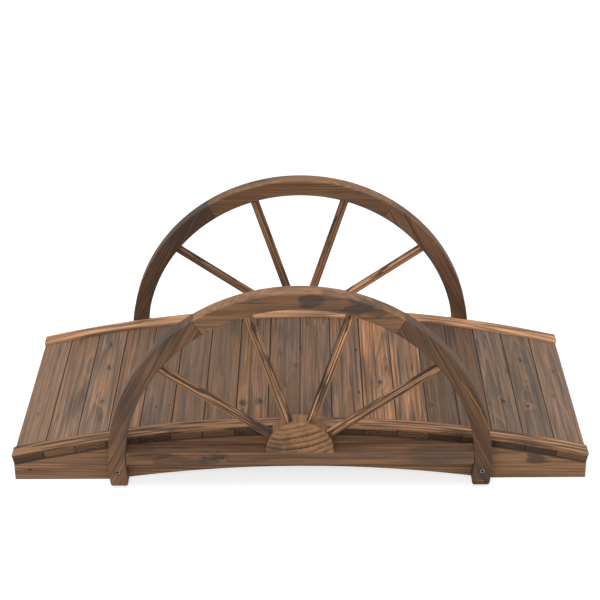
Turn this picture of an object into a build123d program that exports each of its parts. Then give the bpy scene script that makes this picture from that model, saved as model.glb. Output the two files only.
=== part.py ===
from build123d import *

import os
from math import asin, atan, cos, degrees, hypot, radians, sin, sqrt, tan

# Arched wooden garden bridge with a half-wheel rail on each long side.
# Frame in millimetres: X along the walk, Y across it, Z up, with the origin on the ground
# below the middle of the deck. The front side faces -Y, and left and right are seen from there.

# Stringers: two boards on edge, with an arched top and an arched soffit between flat feet
stringer_length = 1490.0
stringer_thickness = 38.0
stringer_end_height = 45.0
deck_rise = 89.0
soffit_span = 980.0
soffit_rise = 38.0

# Deck planks, laid across the stringers
deck_width = 664.0
plank_count = 18
plank_thickness = 18.0
plank_gap = 0.8
plank_edge_bevel = 1.5
plank_seat_clearance = 0.1
plank_end_setback = 0.5

# Edge trims: thin strips bent along both sides of the deck
trim_width = 44.0
trim_thickness = 8.0
trim_setback = 2.0
trim_edge_bevel = 1.5
trim_seat_clearance = 0.1

# Half-wheel rims, each of a crown and two legs
wheel_thickness = 45.0
wheel_centre_height = 69.0
rim_radius = 494.0
rim_width = 45.0
rim_edge_bevel = 2.0
rim_joint_gap = 0.4
crown_angle = 64.5
foot_clearance = 8.0
foot_corner_bevel = 4.0

# Bottom rails between the legs, and the half-round hubs that stand on them
rail_bottom_height = 70.0
rail_height = 36.0
rail_edge_bevel = 2.5
rail_end_clearance = 0.3
hub_radius = 88.0
hub_edge_bevel = 1.5

# Spokes: round dowels in blind bores, fanned out from a point just below the middle of the hub
low_spoke_angle = 35.0
high_spoke_angle = 72.0
spoke_fan_drop = 8.0
spoke_diameter = 24.0
rim_bore_depth = 16.0
hub_bore_depth = 22.0
bore_clearance = 0.2
bore_end_clearance = 0.5

# Leg bolts: socket heads in counterbores, with shanks that end in the stringers
bolt_height = 47.0
bolt_shank_diameter = 8.0
bolt_head_diameter = 13.0
bolt_head_height = 8.0
bolt_head_recess = 1.5
bolt_socket_width = 6.0
bolt_socket_depth = 4.0
bolt_stringer_depth = 30.0
bolt_clearance = 0.3
bolt_end_clearance = 2.0
counterbore_diameter = 16.0

# Arcs of the deck, all about one centre far below the bridge
stringer_half = stringer_length / 2
stringer_radius = (stringer_half**2 + deck_rise**2) / (2 * deck_rise)
deck_centre_height = stringer_end_height + deck_rise - stringer_radius
deck_half_angle = asin(stringer_half / stringer_radius)
plank_pitch_angle = 2 * deck_half_angle / plank_count
plank_seat_radius = stringer_radius + plank_seat_clearance
plank_width = 2 * plank_seat_radius * tan(plank_pitch_angle / 2) - plank_gap
plank_end_angle = plank_pitch_angle / 2 - atan(plank_width / 2 / (plank_seat_radius + plank_thickness))
trim_inner_radius = hypot(plank_seat_radius + plank_thickness, plank_width / 2) + trim_seat_clearance
trim_half_angle = deck_half_angle - plank_end_angle

# Rings, heights and depths of the wheels, with depth measured outwards from the middle of the deck
side_depth = deck_width / 2
wheel_face_depth = side_depth + wheel_thickness
wheel_middle_depth = side_depth + wheel_thickness / 2
rim_inner_radius = rim_radius - rim_width
rim_middle_radius = rim_radius - rim_width / 2
foot_drop = wheel_centre_height - foot_clearance
hub_height = rail_bottom_height + rail_height
hub_lift = hub_height - wheel_centre_height
spoke_fan_height = hub_height - spoke_fan_drop
crown_start_angle = 90 - crown_angle / 2
joint_half_gap_angle = degrees(rim_joint_gap / 2 / rim_middle_radius)
spoke_angles = [180 - low_spoke_angle, 180 - high_spoke_angle, high_spoke_angle, low_spoke_angle]
bolt_offset = sqrt(rim_middle_radius**2 - (wheel_centre_height - bolt_height) ** 2)

# Each side is drawn as seen from outside: local x to the viewer's right, y up, z outwards
sides = {
    "front": Plane.XZ,
    "back": Plane(origin=(0, 0, 0), x_dir=(-1, 0, 0), z_dir=(0, 1, 0)),
}
hand_names = {"front": {-1: "left", 1: "right"}, "back": {-1: "right", 1: "left"}}


def save(builder, name):
    builder.part.label = name
    export_step(builder.part, f"parts/{name}.step")


def deck_plane(angle):
    """Section plane of a plank whose underside touches the deck's arc at this angle from its crown."""
    return Plane(
        origin=(plank_seat_radius * sin(angle), 0, deck_centre_height + plank_seat_radius * cos(angle)),
        x_dir=(cos(angle), 0, -sin(angle)),
        z_dir=(0, -1, 0),
    )


def spoke_plane(side, angle):
    """Plane across a spoke, with its origin in the fan's centre and its normal along the spoke."""
    return Plane(
        origin=side.from_local_coords((0, spoke_fan_height, wheel_middle_depth)),
        z_dir=side.from_local_coords((cos(radians(angle)), sin(radians(angle)), 0)),
    )


def spoke_reach(angle, radius, centre_height):
    """Distance along a spoke from the fan's centre to a circle in the plane of the wheel."""
    lift = spoke_fan_height - centre_height
    along = lift * sin(radians(angle))
    return sqrt(along**2 + radius**2 - lift**2) - along


def rim_reach(angle):
    return spoke_reach(angle, rim_inner_radius, wheel_centre_height)


def hub_reach(angle):
    return spoke_reach(angle, hub_radius, hub_height)


def bolt_plane(side, hand):
    """Plane on a leg's outer face, with its origin on the bolt's axis."""
    return Plane(
        origin=side.from_local_coords((hand * bolt_offset, bolt_height, wheel_face_depth)),
        x_dir=side.x_dir,
        z_dir=side.z_dir,
    )


def cut_spoke_bores(side, start, end):
    """Bores for all spokes, between two distances given for each spoke's angle."""
    for angle in spoke_angles:
        with BuildSketch(spoke_plane(side, angle).offset(start(angle))) as bore:
            Circle(spoke_diameter / 2 + bore_clearance)
        extrude(bore.sketch, amount=end(angle) - start(angle), mode=Mode.SUBTRACT)


def rim_bore_start(angle):
    return rim_reach(angle) - rim_width


def rim_bore_end(angle):
    return rim_reach(angle) + rim_bore_depth


def hub_bore_start(angle):
    return hub_reach(angle) - hub_bore_depth


def hub_bore_end(angle):
    return hub_reach(angle) + hub_bore_depth


os.makedirs("parts", exist_ok=True)

# Deck planks, flat boards with eased top edges
for number in range(plank_count):
    angle = (number + 0.5) * plank_pitch_angle - deck_half_angle
    with BuildPart() as plank:
        with BuildSketch(deck_plane(angle)) as section:
            Rectangle(plank_width, plank_thickness, align=(Align.CENTER, Align.MIN))
            chamfer(section.vertices().group_by(Axis.Y)[-1], plank_edge_bevel)
        extrude(amount=side_depth - plank_end_setback, both=True)
    save(plank, f"deck_plank_{number + 1:02d}")

for side_name, side in sides.items():
    # Stringer, bored for the leg bolts
    with BuildPart() as stringer:
        with BuildSketch(side.offset(side_depth)):
            with BuildLine():
                foot = Line((-stringer_half, 0), (-soffit_span / 2, 0))
                soffit = ThreePointArc(foot @ 1, (0, soffit_rise), (soffit_span / 2, 0))
                far_foot = Line(soffit @ 1, (stringer_half, 0))
                far_end = Line(far_foot @ 1, (stringer_half, stringer_end_height))
                crest = (0, stringer_end_height + deck_rise)
                top = ThreePointArc(far_end @ 1, crest, (-stringer_half, stringer_end_height))
                Line(top @ 1, foot @ 0)
            make_face()
        extrude(amount=-stringer_thickness)
        for hand in hand_names[side_name]:
            with Locations(bolt_plane(side, hand).offset(-wheel_thickness)):
                Hole(
                    bolt_shank_diameter / 2 + bolt_clearance,
                    depth=bolt_stringer_depth + bolt_end_clearance,
                )
    save(stringer, f"{side_name}_stringer")

    # Edge trim, a strip bent over the planks and flush with the ends of the deck
    with BuildPart() as trim:
        with BuildSketch(side.offset(side_depth - trim_setback)):
            with BuildLine():
                centre = (0, deck_centre_height)
                start_angle = 90 - degrees(trim_half_angle)
                sweep_angle = 2 * degrees(trim_half_angle)
                outer = CenterArc(centre, trim_inner_radius + trim_thickness, start_angle, sweep_angle)
                inner = CenterArc(centre, trim_inner_radius, start_angle, sweep_angle)
                Line(outer @ 0, inner @ 0)
                Line(outer @ 1, inner @ 1)
            make_face()
        extrude(amount=-trim_width)
        chamfer(trim.edges().filter_by(GeomType.CIRCLE).group_by(SortBy.RADIUS)[-1], trim_edge_bevel)
    save(trim, f"{side_name}_edge_trim")

    # Crown of the rim, between two radial joints
    with BuildPart() as crown:
        with BuildSketch(side.offset(side_depth)):
            with BuildLine():
                centre = (0, wheel_centre_height)
                start_angle = crown_start_angle + joint_half_gap_angle
                sweep_angle = crown_angle - 2 * joint_half_gap_angle
                outer = CenterArc(centre, rim_radius, start_angle, sweep_angle)
                inner = CenterArc(centre, rim_inner_radius, start_angle, sweep_angle)
                Line(outer @ 0, inner @ 0)
                Line(outer @ 1, inner @ 1)
            make_face()
        extrude(amount=wheel_thickness)
        chamfer(crown.edges().filter_by(GeomType.CIRCLE), rim_edge_bevel)
        cut_spoke_bores(side, rim_bore_start, rim_bore_end)
    save(crown, f"{side_name}_wheel_crown")

    # Legs of the rim, which run down past the wheel's centre to flat feet
    for hand, hand_name in hand_names[side_name].items():
        with BuildPart() as leg:
            with BuildSketch(side.offset(side_depth)) as outline:
                with BuildLine():
                    centre = (0, wheel_centre_height)
                    joint_angle = crown_start_angle - joint_half_gap_angle
                    outer_start = -degrees(asin(foot_drop / rim_radius))
                    inner_start = -degrees(asin(foot_drop / rim_inner_radius))
                    outer = CenterArc(centre, rim_radius, outer_start, joint_angle - outer_start)
                    inner = CenterArc(centre, rim_inner_radius, inner_start, joint_angle - inner_start)
                    Line(outer @ 0, inner @ 0)
                    Line(outer @ 1, inner @ 1)
                make_face()
                chamfer(outline.vertices().group_by(Axis.Y)[0], foot_corner_bevel)
                if hand < 0:
                    mirror(about=Plane.YZ, mode=Mode.REPLACE)
            extrude(amount=wheel_thickness)
            chamfer(leg.edges().filter_by(GeomType.CIRCLE), rim_edge_bevel)
            cut_spoke_bores(side, rim_bore_start, rim_bore_end)
            with Locations(bolt_plane(side, hand)):
                CounterBoreHole(
                    bolt_shank_diameter / 2 + bolt_clearance,
                    counterbore_diameter / 2,
                    bolt_head_recess + bolt_head_height,
                )
        save(leg, f"{side_name}_wheel_{hand_name}_leg")

    # Bottom rail, between the legs and against the stringer
    rail_reach_drop = max(abs(rail_bottom_height - wheel_centre_height), abs(hub_lift))
    rail_half = sqrt(rim_inner_radius**2 - rail_reach_drop**2) - rail_end_clearance
    with BuildPart() as rail:
        with BuildSketch(side.offset(side_depth)):
            with Locations((0, rail_bottom_height)):
                Rectangle(2 * rail_half, rail_height, align=(Align.CENTER, Align.MIN))
        extrude(amount=wheel_thickness)
        chamfer(rail.edges().filter_by(Axis.X).sort_by(Axis.Z)[:2], rail_edge_bevel)
    save(rail, f"{side_name}_bottom_rail")

    # Hub, half a disc that stands on the rail
    with BuildPart() as hub:
        with BuildSketch(side.offset(side_depth)):
            with BuildLine():
                half_turn = CenterArc((0, hub_height), hub_radius, 0, 180)
                Line(half_turn @ 1, half_turn @ 0)
            make_face()
        extrude(amount=wheel_thickness)
        outer_edge = hub.edges().filter_by(GeomType.CIRCLE).sort_by(Axis(side.origin, side.z_dir))[-1]
        chamfer(outer_edge, hub_edge_bevel)
        cut_spoke_bores(side, hub_bore_start, hub_bore_end)
    save(hub, f"{side_name}_wheel_hub")

    # Spokes, numbered from the viewer's left on each side
    for number, angle in enumerate(spoke_angles, start=1):
        spoke_start = hub_bore_start(angle) + bore_end_clearance
        spoke_end = rim_bore_end(angle) - bore_end_clearance
        with BuildPart() as spoke:
            with BuildSketch(spoke_plane(side, angle).offset(spoke_start)):
                Circle(spoke_diameter / 2)
            extrude(amount=spoke_end - spoke_start)
        save(spoke, f"{side_name}_wheel_spoke_{number}")

    # Leg bolts
    for hand, hand_name in hand_names[side_name].items():
        head_top = bolt_plane(side, hand).offset(-bolt_head_recess)
        shank_length = wheel_thickness - bolt_head_recess - bolt_head_height + bolt_stringer_depth
        with BuildPart() as bolt:
            with BuildSketch(head_top):
                Circle(bolt_head_diameter / 2)
            extrude(amount=-bolt_head_height)
            with BuildSketch(head_top.offset(-bolt_head_height)):
                Circle(bolt_shank_diameter / 2)
            extrude(amount=-shank_length)
            with BuildSketch(head_top):
                RegularPolygon(bolt_socket_width / 2, 6, major_radius=False)
            extrude(amount=-bolt_socket_depth, mode=Mode.SUBTRACT)
        save(bolt, f"{side_name}_{hand_name}_leg_bolt")
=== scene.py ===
import math
import random
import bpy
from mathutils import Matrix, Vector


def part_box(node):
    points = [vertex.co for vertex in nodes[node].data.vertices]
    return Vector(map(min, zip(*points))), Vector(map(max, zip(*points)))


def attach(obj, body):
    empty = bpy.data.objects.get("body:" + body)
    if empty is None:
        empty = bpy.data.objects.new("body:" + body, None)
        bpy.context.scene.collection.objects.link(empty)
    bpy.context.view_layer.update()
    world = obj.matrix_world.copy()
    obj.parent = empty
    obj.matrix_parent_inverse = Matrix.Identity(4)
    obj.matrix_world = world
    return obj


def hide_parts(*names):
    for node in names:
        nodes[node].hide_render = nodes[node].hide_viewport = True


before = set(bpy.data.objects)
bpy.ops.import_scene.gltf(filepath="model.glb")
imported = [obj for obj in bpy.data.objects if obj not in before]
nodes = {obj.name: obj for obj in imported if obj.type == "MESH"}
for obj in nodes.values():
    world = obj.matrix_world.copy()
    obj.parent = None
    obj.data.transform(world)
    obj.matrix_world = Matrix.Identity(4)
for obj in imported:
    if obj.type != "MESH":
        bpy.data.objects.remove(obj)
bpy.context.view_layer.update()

from types import SimpleNamespace

import bpy
import numpy as np
from mathutils import Matrix, Vector, noise

# Arched wooden garden bridge with a half-wheel rail on each long side, in stained fir.
# Metres, in the frame of the solids: X along the walk, Y across it, Z up, the front side at -Y.

MM = 0.001
X, Y, Z = Vector((1, 0, 0)), Vector((0, 1, 0)), Vector((0, 0, 1))
draw = random.Random(11)

# Linear colours of the stained wood: early wood, its bright first growth, late wood, end grain
DECK = dict(
    early=(0.230, 0.148, 0.103), glow=(0.428, 0.225, 0.120),
    late=(0.071, 0.054, 0.043), end=(0.094, 0.050, 0.024),
)
FRONT_TRIM = dict(
    early=(0.262, 0.136, 0.071), glow=(0.469, 0.243, 0.118),
    late=(0.080, 0.044, 0.026), end=(0.140, 0.076, 0.038),
)
BACK_TRIM = dict(
    early=(0.580, 0.306, 0.156), glow=(0.800, 0.440, 0.236),
    late=(0.250, 0.136, 0.075), end=(0.200, 0.104, 0.050),
)
CROWN = dict(
    early=(0.288, 0.144, 0.070), glow=(0.432, 0.226, 0.113),
    late=(0.098, 0.058, 0.036), end=(0.110, 0.060, 0.032),
)
LEG = dict(
    early=(0.221, 0.113, 0.060), glow=(0.340, 0.177, 0.094),
    late=(0.070, 0.044, 0.030), end=(0.090, 0.050, 0.028),
)
RAIL = dict(
    early=(0.280, 0.142, 0.074), glow=(0.403, 0.203, 0.104),
    late=(0.095, 0.063, 0.048), end=(0.095, 0.055, 0.034),
)
STRINGER = dict(
    early=(0.310, 0.168, 0.093), glow=(0.504, 0.260, 0.124),
    late=(0.105, 0.062, 0.039), end=(0.160, 0.086, 0.042),
)
HUB = dict(
    early=(0.437, 0.219, 0.102), glow=(0.564, 0.285, 0.131),
    late=(0.072, 0.045, 0.031), end=(0.180, 0.098, 0.050),
)
SPOKE = dict(
    early=(0.313, 0.158, 0.083), glow=(0.673, 0.354, 0.171),
    late=(0.088, 0.050, 0.033), end=(0.105, 0.060, 0.034),
)
# The smoke colour is the smoky stain and also the painted shade round the leg bolts' bores; the char
# colour is char and splits and also the painted shade in the deck's seams, at the planks' feet, on the
# stringers and in the bolt sockets.
SMOKE_AND_SHADE = (0.062, 0.048, 0.039, 1.0)
CHAR_AND_SHADE = (0.032, 0.025, 0.020, 1.0)
KNOT = (0.045, 0.027, 0.017, 1.0)
RESIN = (0.620, 0.330, 0.080, 1.0)

# Grain as noises: waves a metre along the grain, waves a metre across it, detail
FIBRE, STREAK, GRAIN = (12.0, 420.0, 2.0), (2.4, 85.0, 3.0), (4.0, 210.0, 3.0)
CLOUD, HUE, BLOT = (3.2, 10.0, 3.0), (1.1, 16.0, 2.0), (22.0, 55.0, 3.0)
RIPPLE, BURN = (9.0, 40.0, 1.0), (11.0, 120.0, 2.0)
SPLIT, SPLIT_PATCH = (1.4, 42.0, 1.0), (2.2, 9.0, 2.0)
BULGE_ACROSS, BULGE_DETAIL, THREAD_DETAIL = 7.0, 2.0, 0.5
MIDDLE_OF_NOISE = 0.5
SEED_SHIFT = (1.0, 0.7, 0.3)

# Growth rings: shares of a year, and how much stronger one year is than another (slope, start)
LATE_FULL, LATE_STOP, GLOW_FULL = 0.85, (1.0, 0.93), 0.03
LATE_VIGOUR, GLOW_VIGOUR = (0.75, 0.25), (0.8, 0.2)

# Masks of the wood: where each begins and where it is full, and the share of paint it lays on
HUE_RANGE, HUE_GLOW = (0.35, 0.70), 0.62
DARK_STREAK, PALE_STREAK, PALE_SHARE = (0.53, 0.70), (0.44, 0.30), 0.7
DARK_THREAD, PALE_THREAD, CLOUD_SOFT = 0.54, 0.44, 0.18
KNOT_STRETCH, KNOT_FRAY, KNOT_EDGE, KNOT_SHARE = 1.6, 2.2, (1.1, 0.45), 0.9
SWIRL_REACH, SWIRL_SHARE = (4.5, 0.2), 0.9
SMUDGE_FRAY, SMUDGE_EDGE = 3.0, (2.55, 2.05)
VEIN_FRAY, VEIN_ENDS, VEIN_EDGE = 0.8, (1.0, 0.85), (1.25, 0.65)
VEIN_FACING, VEIN_SHARE = (0.5, 0.9), 0.75
BEAD_STRETCH, BEAD_FRAY, BEAD_EDGE, BEAD_SHARE = 1.4, 1.2, (1.7, 1.0), 0.8
BURN_SIDE, BURN_SHARE = 11.0, 0.85
SPLIT_LINE, SPLIT_WHERE = (0.014, 0.004), (0.48, 0.58)
FINE_SHARE = 0.9
TURNED = (0.3, 0.9)
END_FACING, END_PALE, END_DARK = (0.45, 0.75), 1.7, 0.15

# Painted shade between boards, at the planks' feet and on the stringers under the planks and behind the
# rails; dark lines in the rims' joints; worn edges with painted highlights
CONTACT_SHADE_SHARE, SEAM_SHARE, RAIL_SHADE_SHARE = 0.8, 0.85, 0.35
FOOT_FRAY, FOOT_SHADE = 4 * MM, (5.0 * MM, 2.5 * MM)
RUB_AND_HIGHLIGHT_REACH, RUB_AND_HIGHLIGHT_STREAK = (5.5 * MM, 3.5 * MM), (0.50, 0.62)
RUB_AND_HIGHLIGHT_FACING, RUB_AND_HIGHLIGHT_SHARE = (0.3, 0.1), 0.45
GAP_SHADE, JOINT_LINE = (2.0 * MM, 0.9 * MM), (1.5 * MM, 0.6 * MM)
SEAT_FRAY, SEAT_SHADE = 5 * MM, (-1.5 * MM, 1.5 * MM)
RAIL_SHADE_RUN, RAIL_SHADE_DEPTH = (470 * MM, 430 * MM), (-30 * MM, -10 * MM)
EDGE_TURN, BEVEL_SAMPLES = (0.985, 0.80), 6
WEAR_AND_HIGHLIGHT_STREAK, WEAR_AND_HIGHLIGHT_SPREAD, WEAR_AND_HIGHLIGHT_GAIN = (0.35, 0.65), 0.3, 1.15

# Relief and sheen of the wood
LATE_RELIEF, GRAIN_RELIEF, KNOT_RELIEF = 0.50, 0.45, -0.5
WOOD_BUMP, WOOD_BUMP_DEPTH = 0.5, 0.5 * MM
FIBRE_ROUGH, LATE_ROUGH, WOOD_SPECULAR = (0.18, 0.54), -0.10, 0.20

# Arc of the stringers' tops
ARCH_HALF, ARCH_RISE, ARCH_END = 745 * MM, 89 * MM, 45 * MM
ARCH_RADIUS = (ARCH_HALF**2 + ARCH_RISE**2) / (2 * ARCH_RISE)
ARCH_CENTRE = ARCH_END + ARCH_RISE - ARCH_RADIUS

# Centre of the half wheels and the lean of the joints in their rims
WHEEL_CENTRE, RIM_JOINT = 69 * MM, math.radians(57.75)


class Graph:
    """A short way to write a material: each method adds nodes and gives back the last output."""

    def __init__(self, tree):
        self.tree = tree
        tree.nodes.clear()

    def add(self, kind, inputs=None, **settings):
        node = self.tree.nodes.new(kind)
        for key, value in settings.items():
            setattr(node, key, value)
        for key, value in (inputs or {}).items():
            if isinstance(value, bpy.types.NodeSocket):
                self.tree.links.new(value, node.inputs[key])
            else:
                node.inputs[key].default_value = value
        return node

    def math(self, operation, a, b=0.0):
        return self.add("ShaderNodeMath", {0: a, 1: b}, operation=operation).outputs[0]

    def vector(self, operation, a, b=(0.0, 0.0, 0.0)):
        node = self.add("ShaderNodeVectorMath", {0: a, 1: b}, operation=operation)
        return node.outputs["Value" if operation in ("LENGTH", "DOT_PRODUCT") else "Vector"]

    def noise(self, vector, along, across, detail):
        """Noise with so many waves a metre along the grain and across it."""
        stretched = self.vector("MULTIPLY", vector, (along, across, across))
        inputs = {"Vector": stretched, "Scale": 1.0, "Detail": detail}
        return self.add("ShaderNodeTexNoise", inputs).outputs["Fac"]

    def smooth(self, value, start, end, low=0.0, high=1.0):
        inputs = {"Value": value, "From Min": start, "From Max": end, "To Min": low, "To Max": high}
        return self.add("ShaderNodeMapRange", inputs, interpolation_type="SMOOTHSTEP").outputs[0]

    def times(self, value, factor):
        return self.math("MULTIPLY", value, factor)

    def plus(self, value, other):
        return self.math("ADD", value, other)

    def line(self, value, slope, start):
        return self.plus(self.times(value, slope), start)

    def hypotenuse(self, a, b):
        return self.math("SQRT", self.plus(self.times(a, a), self.times(b, b)))

    def place(self):
        return self.add("ShaderNodeTexCoord").outputs["Object"]

    def split(self, vector):
        return self.add("ShaderNodeSeparateXYZ", {0: vector}).outputs

    def mix(self, factor, a, b, blend="MIX"):
        inputs = {0: factor, 6: a, 7: b}
        return self.add("ShaderNodeMix", inputs, data_type="RGBA", blend_type=blend).outputs[2]

    def paint(self, colour, mask, share, paint):
        """Lay a share of a paint over a colour where the mask is."""
        return self.mix(self.times(mask, share), colour, paint)

    def dim(self, colour, tone):
        """Multiply a colour by one tone."""
        grey = self.add("ShaderNodeCombineColor", {0: tone, 1: tone, 2: tone}).outputs[0]
        return self.mix(1.0, colour, grey, "MULTIPLY")


def new_material(name):
    material = bpy.data.materials.new(name)
    material.use_nodes = True
    return material, Graph(material.node_tree)


def rgba(colour, gain=1.0):
    return tuple(channel * gain for channel in colour) + (1.0,)


def toned(palette, gain):
    """A palette made lighter or darker all through."""
    return {key: tuple(channel * gain for channel in colour) for key, colour in palette.items()}


def board_map(g, board):
    """Place in a board's log: x along the grain, y across the face, z out of it, from the pith."""
    place = g.place()
    if "bend" in board:
        height, radius = board["bend"]
        x, y, z = g.split(place)
        up = g.plus(z, -height)
        out = g.hypotenuse(x, up)
        run = g.times(g.math("ARCTAN2", x, up), radius)
        straightened = {0: run, 1: y, 2: g.plus(out, -radius)}
        place = g.add("ShaderNodeCombineXYZ", straightened).outputs[0]
    rows = Matrix([board["along"], board["across"], board["along"].cross(board["across"])])
    shift = Vector(board["pith"]) - rows @ board["at"]
    inputs = {"Vector": place, "Rotation": rows.to_euler(), "Location": shift}
    return g.add("ShaderNodeMapping", inputs).outputs[0]


def grain_of(g, board):
    """What the parts of a wood share: place in the log, noises, and how a face is turned."""
    log = board_map(g, board)
    along, across, out = g.split(log)
    seeded = g.vector("ADD", log, tuple(board["seed"] * share for share in SEED_SHIFT))
    geometry = g.add("ShaderNodeNewGeometry").outputs
    endways = g.vector("DOT_PRODUCT", geometry["True Normal"], board["along"])
    return SimpleNamespace(
        log=log, along=along, across=across, out=out, seeded=seeded,
        normal=geometry["Normal"], facing=g.math("ABSOLUTE", endways),
        fibre=g.noise(seeded, *FIBRE), streak=g.noise(seeded, *STREAK),
        grain=g.noise(seeded, *GRAIN), blot=g.noise(seeded, *BLOT),
    )


def spot(g, log, board, along, across, size, stretch):
    """Distance from a spot on the face, in its own radii; it reaches further along the grain."""
    centre = (along + board["pith"][0], across + board["pith"][1], 0.0)
    offset = g.vector("SUBTRACT", log, centre)
    return g.vector("LENGTH", g.vector("MULTIPLY", offset, (1 / size / stretch, 1 / size, 0.0)))


def vein_mask(g, start, finish, width, breaks):
    """1 along a thin line of resin between two points of an outer face, broken here and there."""
    line = finish - start
    outward = Y * math.copysign(1, start.y)
    normal = g.add("ShaderNodeNewGeometry").outputs["True Normal"]
    facing = g.vector("DOT_PRODUCT", normal, outward)
    along = line.normalized()
    across = along.cross(Y)
    offset = g.vector("SUBTRACT", g.place(), (start + finish) / 2)
    run = g.math("ABSOLUTE", g.vector("DOT_PRODUCT", offset, along / (line.length / 2)))
    side = g.math("ABSOLUTE", g.vector("DOT_PRODUCT", offset, across / width))
    side = g.plus(side, g.times(breaks, VEIN_FRAY))
    mask = g.times(g.smooth(run, *VEIN_ENDS), g.smooth(side, *VEIN_EDGE))
    return g.times(mask, g.smooth(facing, *VEIN_FACING))


def knots_of(g, s, board, knots):
    """Mask of the knots, and how far the rings swell round them."""
    knot, swirl = 0.0, 0.0
    for along, across, size in knots:
        reach = spot(g, s.log, board, along, across, size, KNOT_STRETCH)
        reach = g.plus(reach, g.times(g.plus(s.grain, -MIDDLE_OF_NOISE), KNOT_FRAY))
        knot = g.math("MAXIMUM", knot, g.smooth(reach, *KNOT_EDGE))
        swirl = g.plus(swirl, g.times(g.smooth(reach, *SWIRL_REACH), size * SWIRL_SHARE))
    return knot, swirl


def rings_of(g, s, look, swirl):
    """Masks of each year's late wood and of its bright first growth."""
    radius = g.vector("LENGTH", g.vector("MULTIPLY", s.log, (0.0, 1.0, 1.0)))
    bulge = g.noise(s.seeded, look["wave"], BULGE_ACROSS, BULGE_DETAIL)
    radius = g.plus(radius, g.times(bulge, look["bulge"]))
    radius = g.plus(radius, g.times(g.noise(s.seeded, *RIPPLE), look["ripple"]))
    radius = g.plus(radius, g.times(s.along, look["taper"]))
    ring = g.math("DIVIDE", g.plus(radius, swirl), look["spacing"])
    season, year = g.math("FRACT", ring), g.math("FLOOR", ring)
    vigour = g.add("ShaderNodeTexWhiteNoise", {"W": year}, noise_dimensions="1D").outputs["Value"]
    late = g.times(g.smooth(season, look["late_from"], LATE_FULL), g.smooth(season, *LATE_STOP))
    late = g.times(late, g.line(vigour, *LATE_VIGOUR))
    late = g.times(late, g.smooth(s.facing, *TURNED, look["side_rings"], 1.0))
    glow = g.times(g.smooth(season, look["glow_to"], GLOW_FULL), g.line(vigour, *GLOW_VIGOUR))
    return late, glow


def stained(g, s, look, late, glow):
    """Colour of the sound wood: rings, streaks, threads and smoky clouds."""
    dark, pale = rgba(look["late"]), rgba(look["glow"])
    hue = g.smooth(g.noise(s.seeded, *HUE), *HUE_RANGE)
    colour = g.mix(hue, rgba(look["early"]), rgba(look["glow"], HUE_GLOW))
    colour = g.paint(colour, late, look["contrast"], dark)
    colour = g.paint(colour, glow, look["shine"], pale)
    colour = g.paint(colour, g.smooth(s.streak, *DARK_STREAK), look["streaks"], dark)
    colour = g.paint(colour, g.smooth(s.streak, *PALE_STREAK), look["streaks"] * PALE_SHARE, pale)
    thread = g.noise(s.seeded, look["thread_along"], look["thread_waves"], THREAD_DETAIL)
    dark_thread = g.smooth(thread, DARK_THREAD, DARK_THREAD + look["soft"])
    pale_thread = g.smooth(thread, PALE_THREAD, PALE_THREAD - look["soft"])
    colour = g.paint(colour, dark_thread, look["threads"], dark)
    colour = g.paint(colour, pale_thread, look["threads"] * PALE_SHARE, pale)
    cloud = g.noise(s.seeded, *CLOUD)
    cloudy = g.smooth(cloud, look["cloud_from"], look["cloud_from"] + CLOUD_SOFT)
    return g.paint(colour, cloudy, look["cloud"], SMOKE_AND_SHADE)


def marked(g, s, board, look, colour, smudges, veins, beads, charred):
    """Blotches, resin, burns and splits laid over the sound wood."""
    for along, across, size, stretch, strength in smudges:
        reach = spot(g, s.log, board, along, across, size, stretch)
        reach = g.plus(reach, g.times(s.blot, SMUDGE_FRAY))
        colour = g.paint(colour, g.smooth(reach, *SMUDGE_EDGE), strength, SMOKE_AND_SHADE)
    for start, finish, width in veins:
        mask = vein_mask(g, start, finish, width, s.fibre)
        colour = g.paint(colour, mask, VEIN_SHARE, RESIN)
    for along, across, size in beads:
        reach = spot(g, s.log, board, along, across, size, BEAD_STRETCH)
        reach = g.plus(reach, g.times(s.grain, BEAD_FRAY))
        colour = g.paint(colour, g.smooth(reach, *BEAD_EDGE), BEAD_SHARE, RESIN)
    if charred:
        from_middle = g.vector("SUBTRACT", s.log, Vector(board["pith"]))
        side = g.vector("DOT_PRODUCT", from_middle, charred)
        burn = g.plus(g.noise(s.seeded, *BURN), g.times(side, BURN_SIDE))
        burnt = g.smooth(burn, look["char_from"], look["char_from"] + look["soft"])
        colour = g.paint(colour, burnt, BURN_SHARE, CHAR_AND_SHADE)
    split = g.math("ABSOLUTE", g.plus(g.noise(s.seeded, *SPLIT), -MIDDLE_OF_NOISE))
    where = g.smooth(g.noise(s.seeded, *SPLIT_PATCH), *SPLIT_WHERE)
    split = g.times(g.smooth(split, *SPLIT_LINE), where)
    return g.paint(colour, split, look["splits"], CHAR_AND_SHADE)


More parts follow.
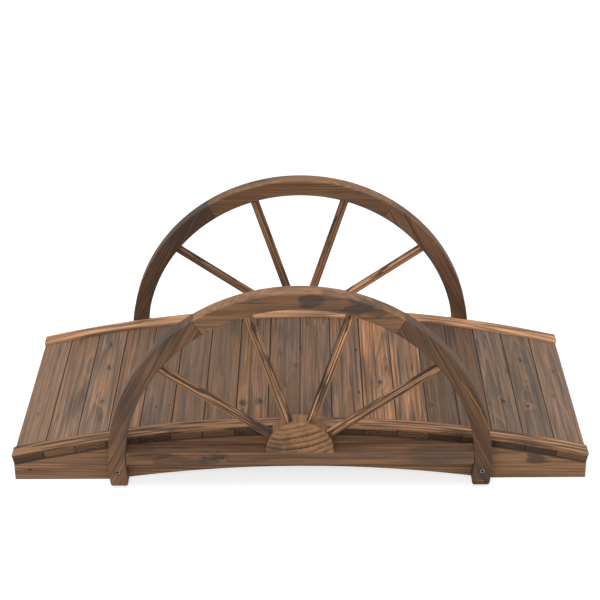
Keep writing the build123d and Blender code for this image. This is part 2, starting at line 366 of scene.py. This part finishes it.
def seam_shade_and_worn_edges(g, s, board, look, colour, end):
    """Painted shade where a board meets its neighbours and behind the rails, dark lines in the rims'
    joints, and pale, worn edges with painted highlights.
    """
    if "foot" in board:
        # Painted shade along the foot of the planks' sawn ends, where they sit on the stringers.
        depth = g.plus(s.out, board["foot"] - board["pith"][2])
        painted_shade = g.smooth(g.plus(depth, g.times(s.blot, FOOT_FRAY)), *FOOT_SHADE)
        colour = g.paint(colour, g.times(painted_shade, end), CONTACT_SHADE_SHARE, CHAR_AND_SHADE)
    if "half_width" in board:
        off_middle = g.math("ABSOLUTE", g.plus(s.across, -board["pith"][1]))
        inset = g.math("SUBTRACT", board["half_width"], off_middle)
        # Pale edges along the planks' sides: partly worn wood, partly a painted highlight.
        rubbed_and_highlit = g.times(g.smooth(inset, *RUB_AND_HIGHLIGHT_REACH), g.smooth(s.streak, *RUB_AND_HIGHLIGHT_STREAK))
        rubbed_and_highlit = g.times(rubbed_and_highlit, g.smooth(s.facing, *RUB_AND_HIGHLIGHT_FACING))
        colour = g.paint(colour, rubbed_and_highlit, RUB_AND_HIGHLIGHT_SHARE, rgba(look["glow"]))
        # Painted shade in the seams between the planks.
        colour = g.paint(colour, g.smooth(inset, *GAP_SHADE), SEAM_SHARE, CHAR_AND_SHADE)
    if "seat" in board:
        # Painted shade along the stringer's upper edge, under the planks.
        x, _, z = g.split(g.place())
        depth = g.plus(g.hypotenuse(x, g.plus(z, -ARCH_CENTRE)), -board["seat"])
        painted_shade = g.smooth(g.plus(depth, g.times(s.blot, SEAT_FRAY)), *SEAT_SHADE)
        colour = g.paint(colour, painted_shade, CONTACT_SHADE_SHARE, CHAR_AND_SHADE)
        # Painted shade on the stringer between the legs, behind the rail and under the planks.
        between_legs = g.smooth(g.math("ABSOLUTE", x), *RAIL_SHADE_RUN)
        rail_shade = g.times(between_legs, g.smooth(depth, *RAIL_SHADE_DEPTH))
        colour = g.paint(colour, rail_shade, RAIL_SHADE_SHARE, CHAR_AND_SHADE)
    if "wheel_joint" in board:
        x, _, z = g.split(g.place())
        run = g.times(g.math("ABSOLUTE", x), math.sin(board["wheel_joint"]))
        rise = g.times(g.plus(z, -WHEEL_CENTRE), math.cos(board["wheel_joint"]))
        off_joint = g.math("ABSOLUTE", g.math("SUBTRACT", run, rise))
        colour = g.paint(colour, g.smooth(off_joint, *JOINT_LINE), SEAM_SHARE, CHAR_AND_SHADE)
    return colour


def wood(name, board, look, knots=(), smudges=(), veins=(), beads=(), charred=None):
    """Stained fir cut from a log: rings run through the board, so its faces and ends agree."""
    material, g = new_material(name)
    s = grain_of(g, board)
    knot, swirl = knots_of(g, s, board, knots)
    late, glow = rings_of(g, s, look, swirl)

    colour = stained(g, s, look, late, glow)
    colour = marked(g, s, board, look, colour, smudges, veins, beads, charred)
    colour = g.paint(colour, knot, KNOT_SHARE, KNOT)
    fine = FINE_SHARE * look["fine"]
    colour = g.dim(colour, g.plus(g.plus(g.times(s.fibre, fine), g.times(s.grain, fine)), 1 - fine))
    end = g.times(g.smooth(s.facing, *END_FACING), look["end_share"])
    end_colour = g.mix(late, rgba(look["end"], END_PALE), rgba(look["end"], END_DARK))
    colour = seam_shade_and_worn_edges(g, s, board, look, g.mix(end, colour, end_colour), end)

    # Pale edges where the face turns: partly worn wood, partly a painted highlight.
    bevel = g.add("ShaderNodeBevel", {"Radius": look["edge"]}, samples=BEVEL_SAMPLES).outputs[0]
    edge = g.smooth(g.vector("DOT_PRODUCT", bevel, s.normal), *EDGE_TURN)
    wear = g.smooth(s.streak, *WEAR_AND_HIGHLIGHT_STREAK, look["wear"], look["wear"] + WEAR_AND_HIGHLIGHT_SPREAD)
    colour = g.mix(g.times(edge, wear), colour, rgba(look["glow"], WEAR_AND_HIGHLIGHT_GAIN))

    # Painted light and shade: upward faces are made lighter or darker, and the hub's faces along its
    # grain darker; the drift changes the tone along the board.
    upward = g.vector("DOT_PRODUCT", s.normal, Z)
    top_tone = g.smooth(upward, *TURNED, 1.0, look["top"])
    tone = g.times(top_tone, g.smooth(s.facing, *TURNED, look["side_tone"], 1.0))
    tone = g.times(tone, g.line(g.plus(s.along, -board["pith"][0]), look["drift"], 1.0))
    colour = g.dim(colour, tone)

    height = g.plus(g.times(late, LATE_RELIEF), g.times(s.grain, GRAIN_RELIEF))
    height = g.plus(height, g.times(knot, KNOT_RELIEF))
    relief = {"Strength": WOOD_BUMP, "Distance": WOOD_BUMP_DEPTH, "Height": height, "Normal": bevel}
    bump = g.add("ShaderNodeBump", relief).outputs[0]
    rough = g.plus(g.line(s.fibre, *FIBRE_ROUGH), g.times(late, LATE_ROUGH))
    surface = {"Base Color": colour, "Roughness": rough, "Normal": bump}
    shader = g.add("ShaderNodeBsdfPrincipled", {**surface, "Specular IOR Level": WOOD_SPECULAR})
    g.add("ShaderNodeOutputMaterial", {"Surface": shader.outputs[0]})
    return material


# Bolts of zinc-plated steel
BOLT_STEEL, BOLT_ROUGHNESS, SOCKET_RADIUS, BORE_SHADE = (0.20, 0.20, 0.205), 0.32, 3.6 * MM, 5.5 * MM
MOTTLE, DULL = (900.0, 900.0, 3.0), (260.0, 260.0, 2.0)
DULL_RANGE, DULL_GAIN, MOTTLE_ROUGH = (0.42, 0.66), 0.45, 0.25
SOCKET_SOFT, SOCKET_SHADE_SHARE = 0.8, 0.9
STEEL_BUMP, STEEL_BUMP_DEPTH = 0.2, 0.1 * MM


def steel(name, axis):
    """Steel with a mottled, slightly dulled skin, and painted shade in the socket about the bolt's
    axis.
    """
    material, g = new_material(name)
    place = g.place()
    mottle = g.noise(place, *MOTTLE)
    dull = g.smooth(g.noise(place, *DULL), *DULL_RANGE)
    tint = g.mix(dull, rgba(BOLT_STEEL), rgba(BOLT_STEEL, DULL_GAIN))
    offset = g.vector("MULTIPLY", g.vector("SUBTRACT", place, axis), (1.0, 0.0, 1.0))
    # Painted shade in the bolt's socket.
    socket = g.smooth(g.vector("LENGTH", offset), SOCKET_RADIUS, SOCKET_RADIUS * SOCKET_SOFT)
    tint = g.paint(tint, socket, SOCKET_SHADE_SHARE, CHAR_AND_SHADE)
    relief = {"Strength": STEEL_BUMP, "Distance": STEEL_BUMP_DEPTH, "Height": mottle}
    bump = g.add("ShaderNodeBump", relief).outputs[0]
    rough = g.line(mottle, MOTTLE_ROUGH, BOLT_ROUGHNESS)
    surface = {"Base Color": tint, "Roughness": rough, "Normal": bump, "Metallic": 1.0}
    shader = g.add("ShaderNodeBsdfPrincipled", surface)
    g.add("ShaderNodeOutputMaterial", {"Surface": shader.outputs[0]})
    return material


def look_of(palette, **changes):
    """How a wood looks: its palette, the strength and scale of its figure, and the painted light and
    shade on its faces.
    """
    base = dict(
        spacing=6.5 * MM, bulge=26 * MM, wave=1.8, ripple=3.0 * MM, taper=0.012,
        late_from=0.30, glow_to=0.25, side_rings=1.0, contrast=0.92, shine=0.70,
        streaks=0.55, threads=0.45, thread_along=2.6, thread_waves=170.0, soft=0.16,
        cloud=0.60, cloud_from=0.54, char_from=0.57, splits=0.6, fine=1.0,
        end_share=0.85, edge=1.5 * MM, wear=0.2, side_tone=1.0, top=1.0, drift=0.0,
    )
    return {**base, **palette, **changes}


def dress(obj, material):
    obj.data.materials.clear()
    obj.data.materials.append(material)


def middle(node):
    low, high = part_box(node)
    return (Vector(low) + Vector(high)) / 2


def long_axis(points):
    """Direction in which a set of points reaches furthest."""
    return np.linalg.eigh(np.cov(points.T))[1][:, -1]


def drawn_start():
    return draw.uniform(-1, 1)


def drawn_seed():
    return draw.uniform(0, 50)


# Deck planks, sawn boards with eased, slightly wavy edges and rough ends
PLANK_COUNT, PLANK_THICKNESS, PLANK_STATIONS = 18, 18 * MM, 60
TOP_ROUND, BOTTOM_ROUND, ROUND_STEPS, FLAT_POINTS = 2.2 * MM, 0.8 * MM, 4, 8
SHARP_ANGLE = math.radians(40)
EDGE_WAVE, EDGE_CLOSE, CUP = 0.45 * MM, 0.35 * MM, 0.35 * MM
END_ROUGH, END_EASE, END_SHORT = 0.5 * MM, 0.8 * MM, (0.1, 1.6)
WAVES_ALONG, WAVES_APART, ROUGH_WAVES, SEED_STEP = 3.0, 2.0, 400, 3.7

# Spread of the planks' looks
PLANK_PITH_ACROSS, PLANK_PITH_DEPTH = (-30, 30), (20, 70)
PLANK_GAIN, END_GAIN, PLANK_WARMTH = (0.90, 1.12), (0.8, 1.1), (-0.05, 0.07)
PLANK_RINGS, PLANK_SHINE, PLANK_CONTRAST = (5.0, 9.0), (0.4, 0.8), (0.35, 0.75)
PLANK_LATE_FROM, PLANK_STREAKS, PLAIN_THREADS, RUDDY_THREADS = 0.40, 0.55, 0.5, 0.9
DARK_PLANK, DARK_REACH, DARKER = 8, 5, 0.30

# Planks that stand out, by number from the left: tone, warmth, tone along the plank, sawn ends
PLANK_TONES = {
    2: 1.08, 3: 0.94, 4: 0.80, 5: 0.80, 6: 0.88, 7: 0.93, 8: 1.10,
    12: 1.32, 14: 0.54, 15: 0.56, 16: 0.88, 17: 0.84,
}
PLANK_WARMTHS = {
    6: 0.08, 8: 0.12, 9: -0.10, 11: 0.08, 12: 0.22, 13: 0.12, 14: -0.10, 16: -0.07, 17: -0.10,
}
PLANK_DRIFTS = {2: -0.4, 4: -0.5, 9: 0.8, 10: 0.3, 13: 0.5}
END_TONES, END_TONE = {2: 1.55, 3: 0.9, 6: 0.9, 7: 0.9, 13: 1.2, 18: 1.0}, 0.36
RUDDY_PLANKS = (8, 11, 12, 13)
CALM_PLANKS, CALM = (1, 5, 6, 7, 9), 0.55

# Knots of the planks, in millimetres: place along the plank, place towards +X, radius
PLANK_KNOTS = {
    1: [(-120, -3, 3.5)],
    2: [(-87, 13, 3.0)],
    3: [(211, -1, 6.0), (73, 7, 5.0), (-112, 6, 5.5)],
    5: [(-184, -6, 3.5), (-180, 29, 3.5)],
    8: [(-189, 20, 6.0), (-196, -28, 5.0)],
    9: [(1, 30, 4.5)],
    11: [(95, 32, 5.0), (-141, 32, 5.0)],
    12: [(-80, 7, 6.0)],
    14: [(-183, -26, 4.5)],
    16: [(-115, 6, 5.5)],
    17: [(139, 0, 5.0), (18, 2, 3.0), (-121, -12, 6.0)],
    18: [(106, 10, 4.0), (-37, -10, 3.0)],
}
# Dark blotches: the same, then stretch along the grain and strength
PLANK_SMUDGES = {
    3: [(211, -1, 8, 2.6, 0.75), (73, 7, 7, 3.4, 0.75), (-200, 8, 12, 1.6, 0.6)],
    8: [(-189, 20, 11, 1.5, 0.7), (-196, -28, 13, 1.2, 0.8)],
    12: [(-80, 7, 9, 2.0, 0.6)],
    14: [(-183, -26, 10, 1.6, 0.6)],
    16: [(-115, 6, 9, 1.8, 0.7), (-137, -33, 9, 1.8, 0.7)],
}
# Beads of resin, given like the knots
PLANK_BEADS = {
    2: [(-88, 14, 2.2), (-95, 8, 1.6)],
    17: [(-32, 3, 2.0), (-26, -2, 1.6), (18, 2, 2.2), (-112, -11, 2.0)],
}


def section_outline(half_width, thickness):
    """Rounded outline of a plank, as offsets across and up from the middle of its underside."""
    outline = []
    corners = (
        (half_width, 0.0, BOTTOM_ROUND, -90), (half_width, thickness, TOP_ROUND, 0),
        (-half_width, thickness, TOP_ROUND, 90), (-half_width, 0.0, BOTTOM_ROUND, 180),
    )
    for index, (corner_x, corner_z, radius, start) in enumerate(corners):
        centre_x = corner_x - math.copysign(radius, corner_x)
        centre_z = radius if corner_z == 0.0 else corner_z - radius
        for step in range(ROUND_STEPS + 1):
            turn = math.radians(start + 90 * step / ROUND_STEPS)
            outline.append((centre_x + radius * math.cos(turn), centre_z + radius * math.sin(turn)))
        if index in (1, 3):
            inner = half_width - radius
            shares = [1 - 2 * (step + 1) / (FLAT_POINTS + 1) for step in range(FLAT_POINTS)]
            flat = [(inner * share, corner_z) for share in shares]
            outline.extend(flat if index == 1 else [(-x, z) for x, z in flat])
    return outline


def new_piece(name, points, faces):
    """A mesh piece that belongs to the bridge, with soft shading over its eased edges."""
    mesh = bpy.data.meshes.new(name)
    mesh.from_pydata(points, [], faces)
    mesh.polygons.foreach_set("use_smooth", [True] * len(mesh.polygons))
    mesh.set_sharp_from_angle(angle=SHARP_ANGLE)
    piece = bpy.data.objects.new(name, mesh)
    bpy.context.scene.collection.objects.link(piece)
    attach(piece, "root")
    return piece


def plank_piece(name, seed):
    """A plank in the place of its solid, a touch shorter, with wavy edges; joints are narrower."""
    points = np.array([v.co for v in nodes[name].data.vertices])
    flat = points[:, [0, 2]]
    axis = long_axis(flat)
    axis *= math.copysign(1, axis[0])
    across, up = Vector((axis[0], 0, axis[1])), Vector((-axis[1], 0, axis[0]))
    runs, rises = flat @ axis, flat @ np.array([-axis[1], axis[0]])
    half_width, thickness = (runs.max() - runs.min()) / 2, rises.max() - rises.min()
    grow_left = 0.0 if name.endswith("_01") else EDGE_CLOSE
    grow_right = 0.0 if name.endswith(f"_{PLANK_COUNT}") else EDGE_CLOSE
    half_width += (grow_left + grow_right) / 2
    centre = (runs.max() + runs.min() + grow_right - grow_left) / 2
    base = across * centre + up * rises.min()
    half_length = points[:, 1].max()
    outline = section_outline(half_width, thickness)
    ends = [half_length - draw.uniform(*END_SHORT) * MM for _ in range(2)]
    cup = draw.uniform(-CUP, CUP)

    ease = END_EASE / half_length
    inner = [(1 - ease) * (2.0 * n / PLANK_STATIONS - 1) for n in range(PLANK_STATIONS + 1)]
    stations = [-1.0, *inner, 1.0]
    vertices, faces = [], []
    ring_size = len(outline)
    for share in stations:
        last = abs(share) == 1.0
        reach = ends[0] if share < 0 else ends[1]
        for x, z in outline:
            side = math.copysign(1, x)
            edge_share, wave, lift = abs(x) / half_width, 0.0, 0.0
            if z > thickness / 2:
                waver = Vector((share * WAVES_ALONG, side * WAVES_APART, seed))
                wave = abs(noise.noise(waver)) * EDGE_WAVE
                lift = cup * (edge_share**2 - 1)
            y = share * reach
            if last:
                rough = abs(noise.noise(Vector((x * ROUGH_WAVES, z * ROUGH_WAVES, seed + share))))
                y -= math.copysign(rough * END_ROUGH, share)
                x *= 1 - END_EASE / half_width
                z = thickness / 2 + (z - thickness / 2) * (1 - END_EASE / thickness)
            place = base + across * (x - side * wave * edge_share) + up * (z - abs(lift))
            vertices.append(place + Y * y)
    last_ring = (len(stations) - 1) * ring_size
    for corner in range(ring_size):
        following = (corner + 1) % ring_size
        for low in range(0, last_ring, ring_size):
            high = low + ring_size
            faces.append((low + corner, high + corner, high + following, low + following))
        faces.append((corner, following, len(vertices)))
        faces.append((last_ring + following, last_ring + corner, len(vertices) + 1))
    for reach in (-ends[0], ends[1]):
        inset = math.copysign(END_ROUGH / 2, reach)
        vertices.append(base + up * (thickness / 2) + Y * (reach - inset))
    piece = new_piece(name.replace("deck_plank", "sawn_plank"), vertices, faces)
    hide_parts(name)
    return piece, across, half_width


def on_plank(places):
    """Knots, blotches or beads of a plank, from millimetres to its board's own directions."""
    return [(y * MM, -x * MM, size * MM, *rest) for y, x, size, *rest in places]


for number in range(1, PLANK_COUNT + 1):
    name = f"deck_plank_{number:02d}"
    piece, across, half_width = plank_piece(name, number * SEED_STEP)
    pith = (
        drawn_start(), draw.uniform(*PLANK_PITH_ACROSS) * MM, draw.uniform(*PLANK_PITH_DEPTH) * MM,
    )
    board = dict(
        at=middle(name), along=Y, across=-across, foot=PLANK_THICKNESS / 2, half_width=half_width,
        pith=pith, seed=drawn_seed(),
    )
    shaded = max(0.0, 1 - abs(number - DARK_PLANK) / DARK_REACH)
    gain = draw.uniform(*PLANK_GAIN) * (1 - DARKER * shaded) * PLANK_TONES.get(number, 1.0)
    end_gain = draw.uniform(*END_GAIN) * END_TONES.get(number, END_TONE)
    warm = draw.uniform(*PLANK_WARMTH) + PLANK_WARMTHS.get(number, 0.0)
    palette = toned(DECK, gain)
    for key in ("early", "glow", "late"):
        red, green, blue = palette[key]
        palette[key] = (red * (1 + warm), green, blue * (1 - warm))
    palette["end"] = tuple(channel * end_gain for channel in DECK["end"])
    figure = CALM if number in CALM_PLANKS else 1.0
    threads = RUDDY_THREADS if number in RUDDY_PLANKS else PLAIN_THREADS * figure
    look = look_of(
        palette, spacing=draw.uniform(*PLANK_RINGS) * MM,
        shine=draw.uniform(*PLANK_SHINE) * figure, contrast=draw.uniform(*PLANK_CONTRAST) * figure,
        late_from=PLANK_LATE_FROM, wear=0.0, streaks=PLANK_STREAKS * figure, threads=threads,
        drift=PLANK_DRIFTS.get(number, 0.0),
    )
    knots, smudges, beads = (
        on_plank(marks.get(number, [])) for marks in (PLANK_KNOTS, PLANK_SMUDGES, PLANK_BEADS)
    )
    dress(piece, wood(name, board, look, knots, smudges, beads=beads))


# Wheels, rails, stringers and trims: tones of the pieces, and how the tone changes along them
LEG_TONES = dict(front_left=0.98, front_right=0.73, back_left=0.58, back_right=0.94)
LEG_DRIFTS = dict(front_left=-0.75, front_right=0.30, back_left=-0.75, back_right=0.90)
LEG_CLOUDS = dict(left=0.80, right=0.40)
BACK_CROWN_TONE, BACK_CROWN_DRIFT = 0.80, 0.60
TRIM_DRIFTS = dict(front=0.26, back=0.22)
SPOKE_COUNT, SPOKE_BURNS = 4, dict(front=0.56, back=0.62)
SPOKE_TONES = dict(
    front_wheel_spoke_2=1.25, front_wheel_spoke_3=1.30,
    back_wheel_spoke_1=1.40, back_wheel_spoke_3=0.72, back_wheel_spoke_4=0.85,
)

# Where the pith of the log lies from a board's middle: across its face and out of it
STRINGER_PITH, CROWN_PITH, LEG_PITH = (150 * MM, 40 * MM), (160 * MM, 30 * MM), (140 * MM, 35 * MM)
TRIM_PITH, HUB_PITH = (0.06, 0.03), (0.03, -0.19)
RAIL_PITH_ACROSS, RAIL_PITH_DEPTH = (-20, 20), (40, 80)
SPOKE_PITH_ACROSS, SPOKE_PITH_DEPTH = (-4, 4), 30 * MM

# Knots, nails and blotches, in millimetres on the front: X, Z, radius, stretch, strength
STRINGER_KNOTS, STRINGER_SMUDGES = [(-705, 30, 4.0)], [(612, 56, 24, 1.6, 0.8)]
CROWN_NAILS = [(-245.7, 479.3, 1.8), (-232.4, 465.7, 1.8)]
CROWN_SMUDGES = [(28, 541, 20, 1.5, 0.75), (150, 522, 27, 2.2, 0.75)]
RAIL_KNOTS = [(-246, 92, 3.0), (-200, 90, 4.0)]
RAIL_SMUDGES = [(-223, 88, 14, 2.6, 0.85), (-330, 86, 22, 5.0, 0.5)]
BORE_STRETCH, BORE_SHARE = 1.0, 0.8

# Lines of resin, in millimetres on the front: X and Z of both ends, width
STRINGER_VEINS = [((-385, 88), (-300, 94), 1.6)]
LEG_VEINS = [
    ((404, 318), (462, 225), 1.3), ((455, 232), (488, 160), 1.3), ((450, 22), (476, 20), 1.4),
]


def straight(node, outward, along, pith):
    """Board whose face looks outward, with its grain along a given line."""
    along = along.normalized()
    across = outward.cross(along)
    return dict(at=middle(node), along=along, across=across, pith=pith, seed=drawn_seed())


def on_face(node, outward, places):
    """Marks of a node's outer face, placed along its length and across it."""
    turn = -outward.y
    return [
        (x * MM * turn, (z * MM - middle(node).z) * turn, size * MM, *rest)
        for x, z, size, *rest in places
    ]


def face_point(outward, x, z):
    return Vector((-outward.y * x * MM, outward.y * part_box("back_wheel_hub")[1][1], z * MM))


def resin_lines(outward, lines):
    return [
        (face_point(outward, *start), face_point(outward, *finish), width * MM)
        for start, finish, width in lines
    ]


def dress_stringer(side, outward):
    name = f"{side}_stringer"
    board = straight(name, outward, X, (drawn_start(), *STRINGER_PITH))
    board["seat"] = ARCH_RADIUS
    look = look_of(
        STRINGER, spacing=8 * MM, bulge=22 * MM, contrast=0.70, late_from=0.45, cloud=0.45, drift=0.17,
    )
    knots = on_face(name, outward, STRINGER_KNOTS)
    smudges = on_face(name, outward, STRINGER_SMUDGES)
    veins = resin_lines(outward, STRINGER_VEINS)
    dress(nodes[name], wood(name, board, look, knots, smudges, veins))


def dress_trim(side):
    name = f"{side}_edge_trim"
    bend = (ARCH_CENTRE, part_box(name)[1][2] - ARCH_CENTRE)
    board = dict(
        at=Vector((0, middle(name).y, 0)), along=X, across=Y, bend=bend,
        pith=(drawn_start(), *TRIM_PITH), seed=drawn_seed(),
    )
    look = look_of(
        FRONT_TRIM if side == "front" else BACK_TRIM, spacing=12 * MM, bulge=8 * MM,
        ripple=1.0 * MM, taper=0.003, late_from=0.40, cloud=0.4, streaks=1.0, threads=1.0,
        thread_along=7.0, thread_waves=125.0, soft=0.08, fine=0.8, drift=TRIM_DRIFTS[side],
    )
    dress(nodes[name], wood(name, board, look))


def dress_crown(side, outward):
    name = f"{side}_wheel_crown"
    front = side == "front"
    board = straight(name, outward, X, (drawn_start(), *CROWN_PITH))
    board["wheel_joint"] = RIM_JOINT
    # Painted light makes the crown's upward faces lighter.
    look = look_of(
        toned(CROWN, 1.0 if front else BACK_CROWN_TONE), spacing=9 * MM, bulge=30 * MM,
        contrast=0.40, shine=0.5, cloud=0.6, cloud_from=0.50, streaks=0.4, wear=0.3, top=1.05,
        drift=0.0 if front else BACK_CROWN_DRIFT,
    )
    nails = on_face(name, outward, CROWN_NAILS)
    smudges = on_face(name, outward, CROWN_SMUDGES if front else [])
    dress(nodes[name], wood(name, board, look, nails, smudges))


def dress_leg(side, hand, outward):
    """A leg of the rim and its bolt, with painted shade round the bolt's bore."""
    name, bolt = f"{side}_wheel_{hand}_leg", f"{side}_{hand}_leg_bolt"
    low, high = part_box(name)
    lean = -math.copysign((high[0] - low[0]) / (high[2] - low[2]), middle(name).x)
    board = straight(name, outward, Vector((lean, 0, 1)), (drawn_start(), *LEG_PITH))
    board["wheel_joint"] = RIM_JOINT
    # Painted shade darkens the legs' upward faces.
    look = look_of(
        toned(LEG, LEG_TONES[f"{side}_{hand}"]), spacing=8 * MM, bulge=30 * MM, contrast=0.55,
        cloud=LEG_CLOUDS[hand], cloud_from=0.46, streaks=0.6, wear=0.3, top=0.85,
        drift=LEG_DRIFTS[f"{side}_{hand}"],
    )
    axis = middle(bolt)
    offset = axis - board["at"]
    bore = (offset.dot(board["along"]), offset.dot(board["across"]))
    # Painted shade round the bolt's bore.
    painted_shade = [(*bore, BORE_SHADE, BORE_STRETCH, BORE_SHARE)]
    veined = (hand == "right") == (side == "front")
    veins = resin_lines(outward, LEG_VEINS if veined else [])
    dress(nodes[name], wood(name, board, look, smudges=painted_shade, veins=veins))
    dress(nodes[bolt], steel(bolt, axis))


def dress_rail(side, outward):
    name = f"{side}_bottom_rail"
    pith = (
        drawn_start(), draw.uniform(*RAIL_PITH_ACROSS) * MM, draw.uniform(*RAIL_PITH_DEPTH) * MM,
    )
    board = straight(name, outward, X, pith)
    # Painted shade darkens the rail's upward faces.
    look = look_of(RAIL, contrast=0.7, cloud=0.6, streaks=0.4, wear=0.5, top=0.74, drift=0.42)
    knots = on_face(name, outward, RAIL_KNOTS)
    smudges = on_face(name, outward, RAIL_SMUDGES)
    dress(nodes[name], wood(name, board, look, knots, smudges))


def dress_hub(side, outward):
    name = f"{side}_wheel_hub"
    board = dict(
        at=middle(name), along=outward, across=X * -outward.y, pith=(0.0, *HUB_PITH), seed=drawn_seed(),
    )
    # Painted shade darkens the hub's curved band.
    look = look_of(
        HUB, spacing=15 * MM, bulge=30 * MM, ripple=1.2 * MM, late_from=0.30, contrast=1.0, shine=0.6,
        cloud=0.7, cloud_from=0.50, streaks=0.3, threads=0.2, splits=0.0, fine=0.6, edge=3 * MM,
        wear=0.35, end_share=0.0, side_rings=0.1, side_tone=0.62,
    )
    dress(nodes[name], wood(name, board, look))


def dress_spoke(side, number, outward):
    """A dowel with its grain along it, burnt along its upper side."""
    name = f"{side}_wheel_spoke_{number}"
    axis = Vector(long_axis(np.array([v.co for v in nodes[name].data.vertices])))
    axis *= math.copysign(1, axis.z)
    pith = (drawn_start(), draw.uniform(*SPOKE_PITH_ACROSS) * MM, SPOKE_PITH_DEPTH)
    board = straight(name, outward, axis, pith)
    upper = math.copysign(1, board["across"].z)
    look = look_of(
        toned(SPOKE, SPOKE_TONES.get(name, 1.0)), spacing=6 * MM, bulge=12 * MM, wave=2.0,
        ripple=1.5 * MM, taper=0.0, glow_to=0.35, shine=0.9, cloud=0.3, streaks=0.9, threads=1.0,
        thread_waves=280.0, soft=0.09, char_from=SPOKE_BURNS[side],
    )
    dress(nodes[name], wood(name, board, look, charred=Vector((0, upper, 0))))


for side, outward in (("front", -Y), ("back", Y)):
    dress_stringer(side, outward)
    dress_trim(side)
    dress_crown(side, outward)
    for hand in ("left", "right"):
        dress_leg(side, hand, outward)
    dress_rail(side, outward)
    dress_hub(side, outward)
    for number in range(1, SPOKE_COUNT + 1):
        dress_spoke(side, number, outward)

# Floor and light
FLOOR_HALF, FLOOR_GREY, FLOOR_LIFT = 30.0, 0.55, 0.72
WORLD_LIGHT = 0.42
TOP_LIGHT = dict(at=(-0.3, -0.2, 3.4), aim=(0, 0, 0.1), size=(3.0, 2.4), power=72)
FRONT_LIGHT = dict(at=(-0.6, -3.5, 2.2), aim=(0, 0, 0.2), size=(2.4, 1.6), power=38)

# Camera, in the place it had for the photograph: pixels, millimetres, metres and degrees
PHOTO_WIDTH, PHOTO_FOCAL, SENSOR = 600, 1646.4, 36.0
CAMERA_AT = (0.0177, -3.9668, 2.3601)
CAMERA_YAW, CAMERA_PITCH, CAMERA_ROLL = -0.24, 26.82, -0.34


def seen_directly(g):
    """1 where a camera, glossy or transmission ray looks, 0 for the light itself."""
    path = g.add("ShaderNodeLightPath").outputs
    seen = g.math("MAXIMUM", path["Is Camera Ray"], path["Is Glossy Ray"])
    return g.math("MAXIMUM", seen, path["Is Transmission Ray"])


def soft_box(name, at, aim, size, power):
    light = bpy.data.lights.new(name, "AREA")
    light.shape = "RECTANGLE"
    light.size, light.size_y = size
    light.energy = power
    lamp = bpy.data.objects.new(name, light)
    lamp.location = at
    lamp.rotation_euler = (Vector(aim) - Vector(at)).to_track_quat("-Z", "Y").to_euler()
    bpy.context.scene.collection.objects.link(lamp)


floor_mesh = bpy.data.meshes.new("floor")
floor_signs = ((-1, -1), (1, -1), (1, 1), (-1, 1))
floor_corners = [(x * FLOOR_HALF, y * FLOOR_HALF, 0) for x, y in floor_signs]
floor_mesh.from_pydata(floor_corners, [], [(0, 1, 2, 3)])
floor = bpy.data.objects.new("floor", floor_mesh)
bpy.context.scene.collection.objects.link(floor)
floor_paint, g = new_material("floor")
diffuse = g.add("ShaderNodeBsdfDiffuse", {"Color": rgba((FLOOR_GREY,) * 3)}).outputs[0]
glare = {"Strength": g.times(seen_directly(g), FLOOR_LIFT)}
lift = g.add("ShaderNodeEmission", glare).outputs[0]
lifted = g.add("ShaderNodeAddShader", {0: diffuse, 1: lift}).outputs[0]
g.add("ShaderNodeOutputMaterial", {"Surface": lifted})
dress(floor, floor_paint)

world = bpy.data.worlds.new("studio")
bpy.context.scene.world = world
world.use_nodes = True
g = Graph(world.node_tree)
strength = g.smooth(seen_directly(g), 0.0, 1.0, WORLD_LIGHT, 1.0)
sky = g.add("ShaderNodeBackground", {"Color": (1, 1, 1, 1), "Strength": strength}).outputs[0]
g.add("ShaderNodeOutputWorld", {"Surface": sky})

soft_box("top_light", **TOP_LIGHT)
soft_box("front_light", **FRONT_LIGHT)

camera = bpy.data.objects.new("camera", bpy.data.cameras.new("camera"))
camera.data.sensor_width = SENSOR
camera.data.lens = PHOTO_FOCAL / PHOTO_WIDTH * SENSOR
turn = Matrix.Rotation(math.radians(-CAMERA_YAW), 4, "Z")
tilt = Matrix.Rotation(math.radians(90 - CAMERA_PITCH), 4, "X")
roll = Matrix.Rotation(math.radians(CAMERA_ROLL), 4, "Z")
camera.matrix_world = Matrix.Translation(CAMERA_AT) @ turn @ tilt @ roll
bpy.context.scene.collection.objects.link(camera)
bpy.context.scene.camera = camera
bpy.context.scene.view_settings.view_transform = "Standard"
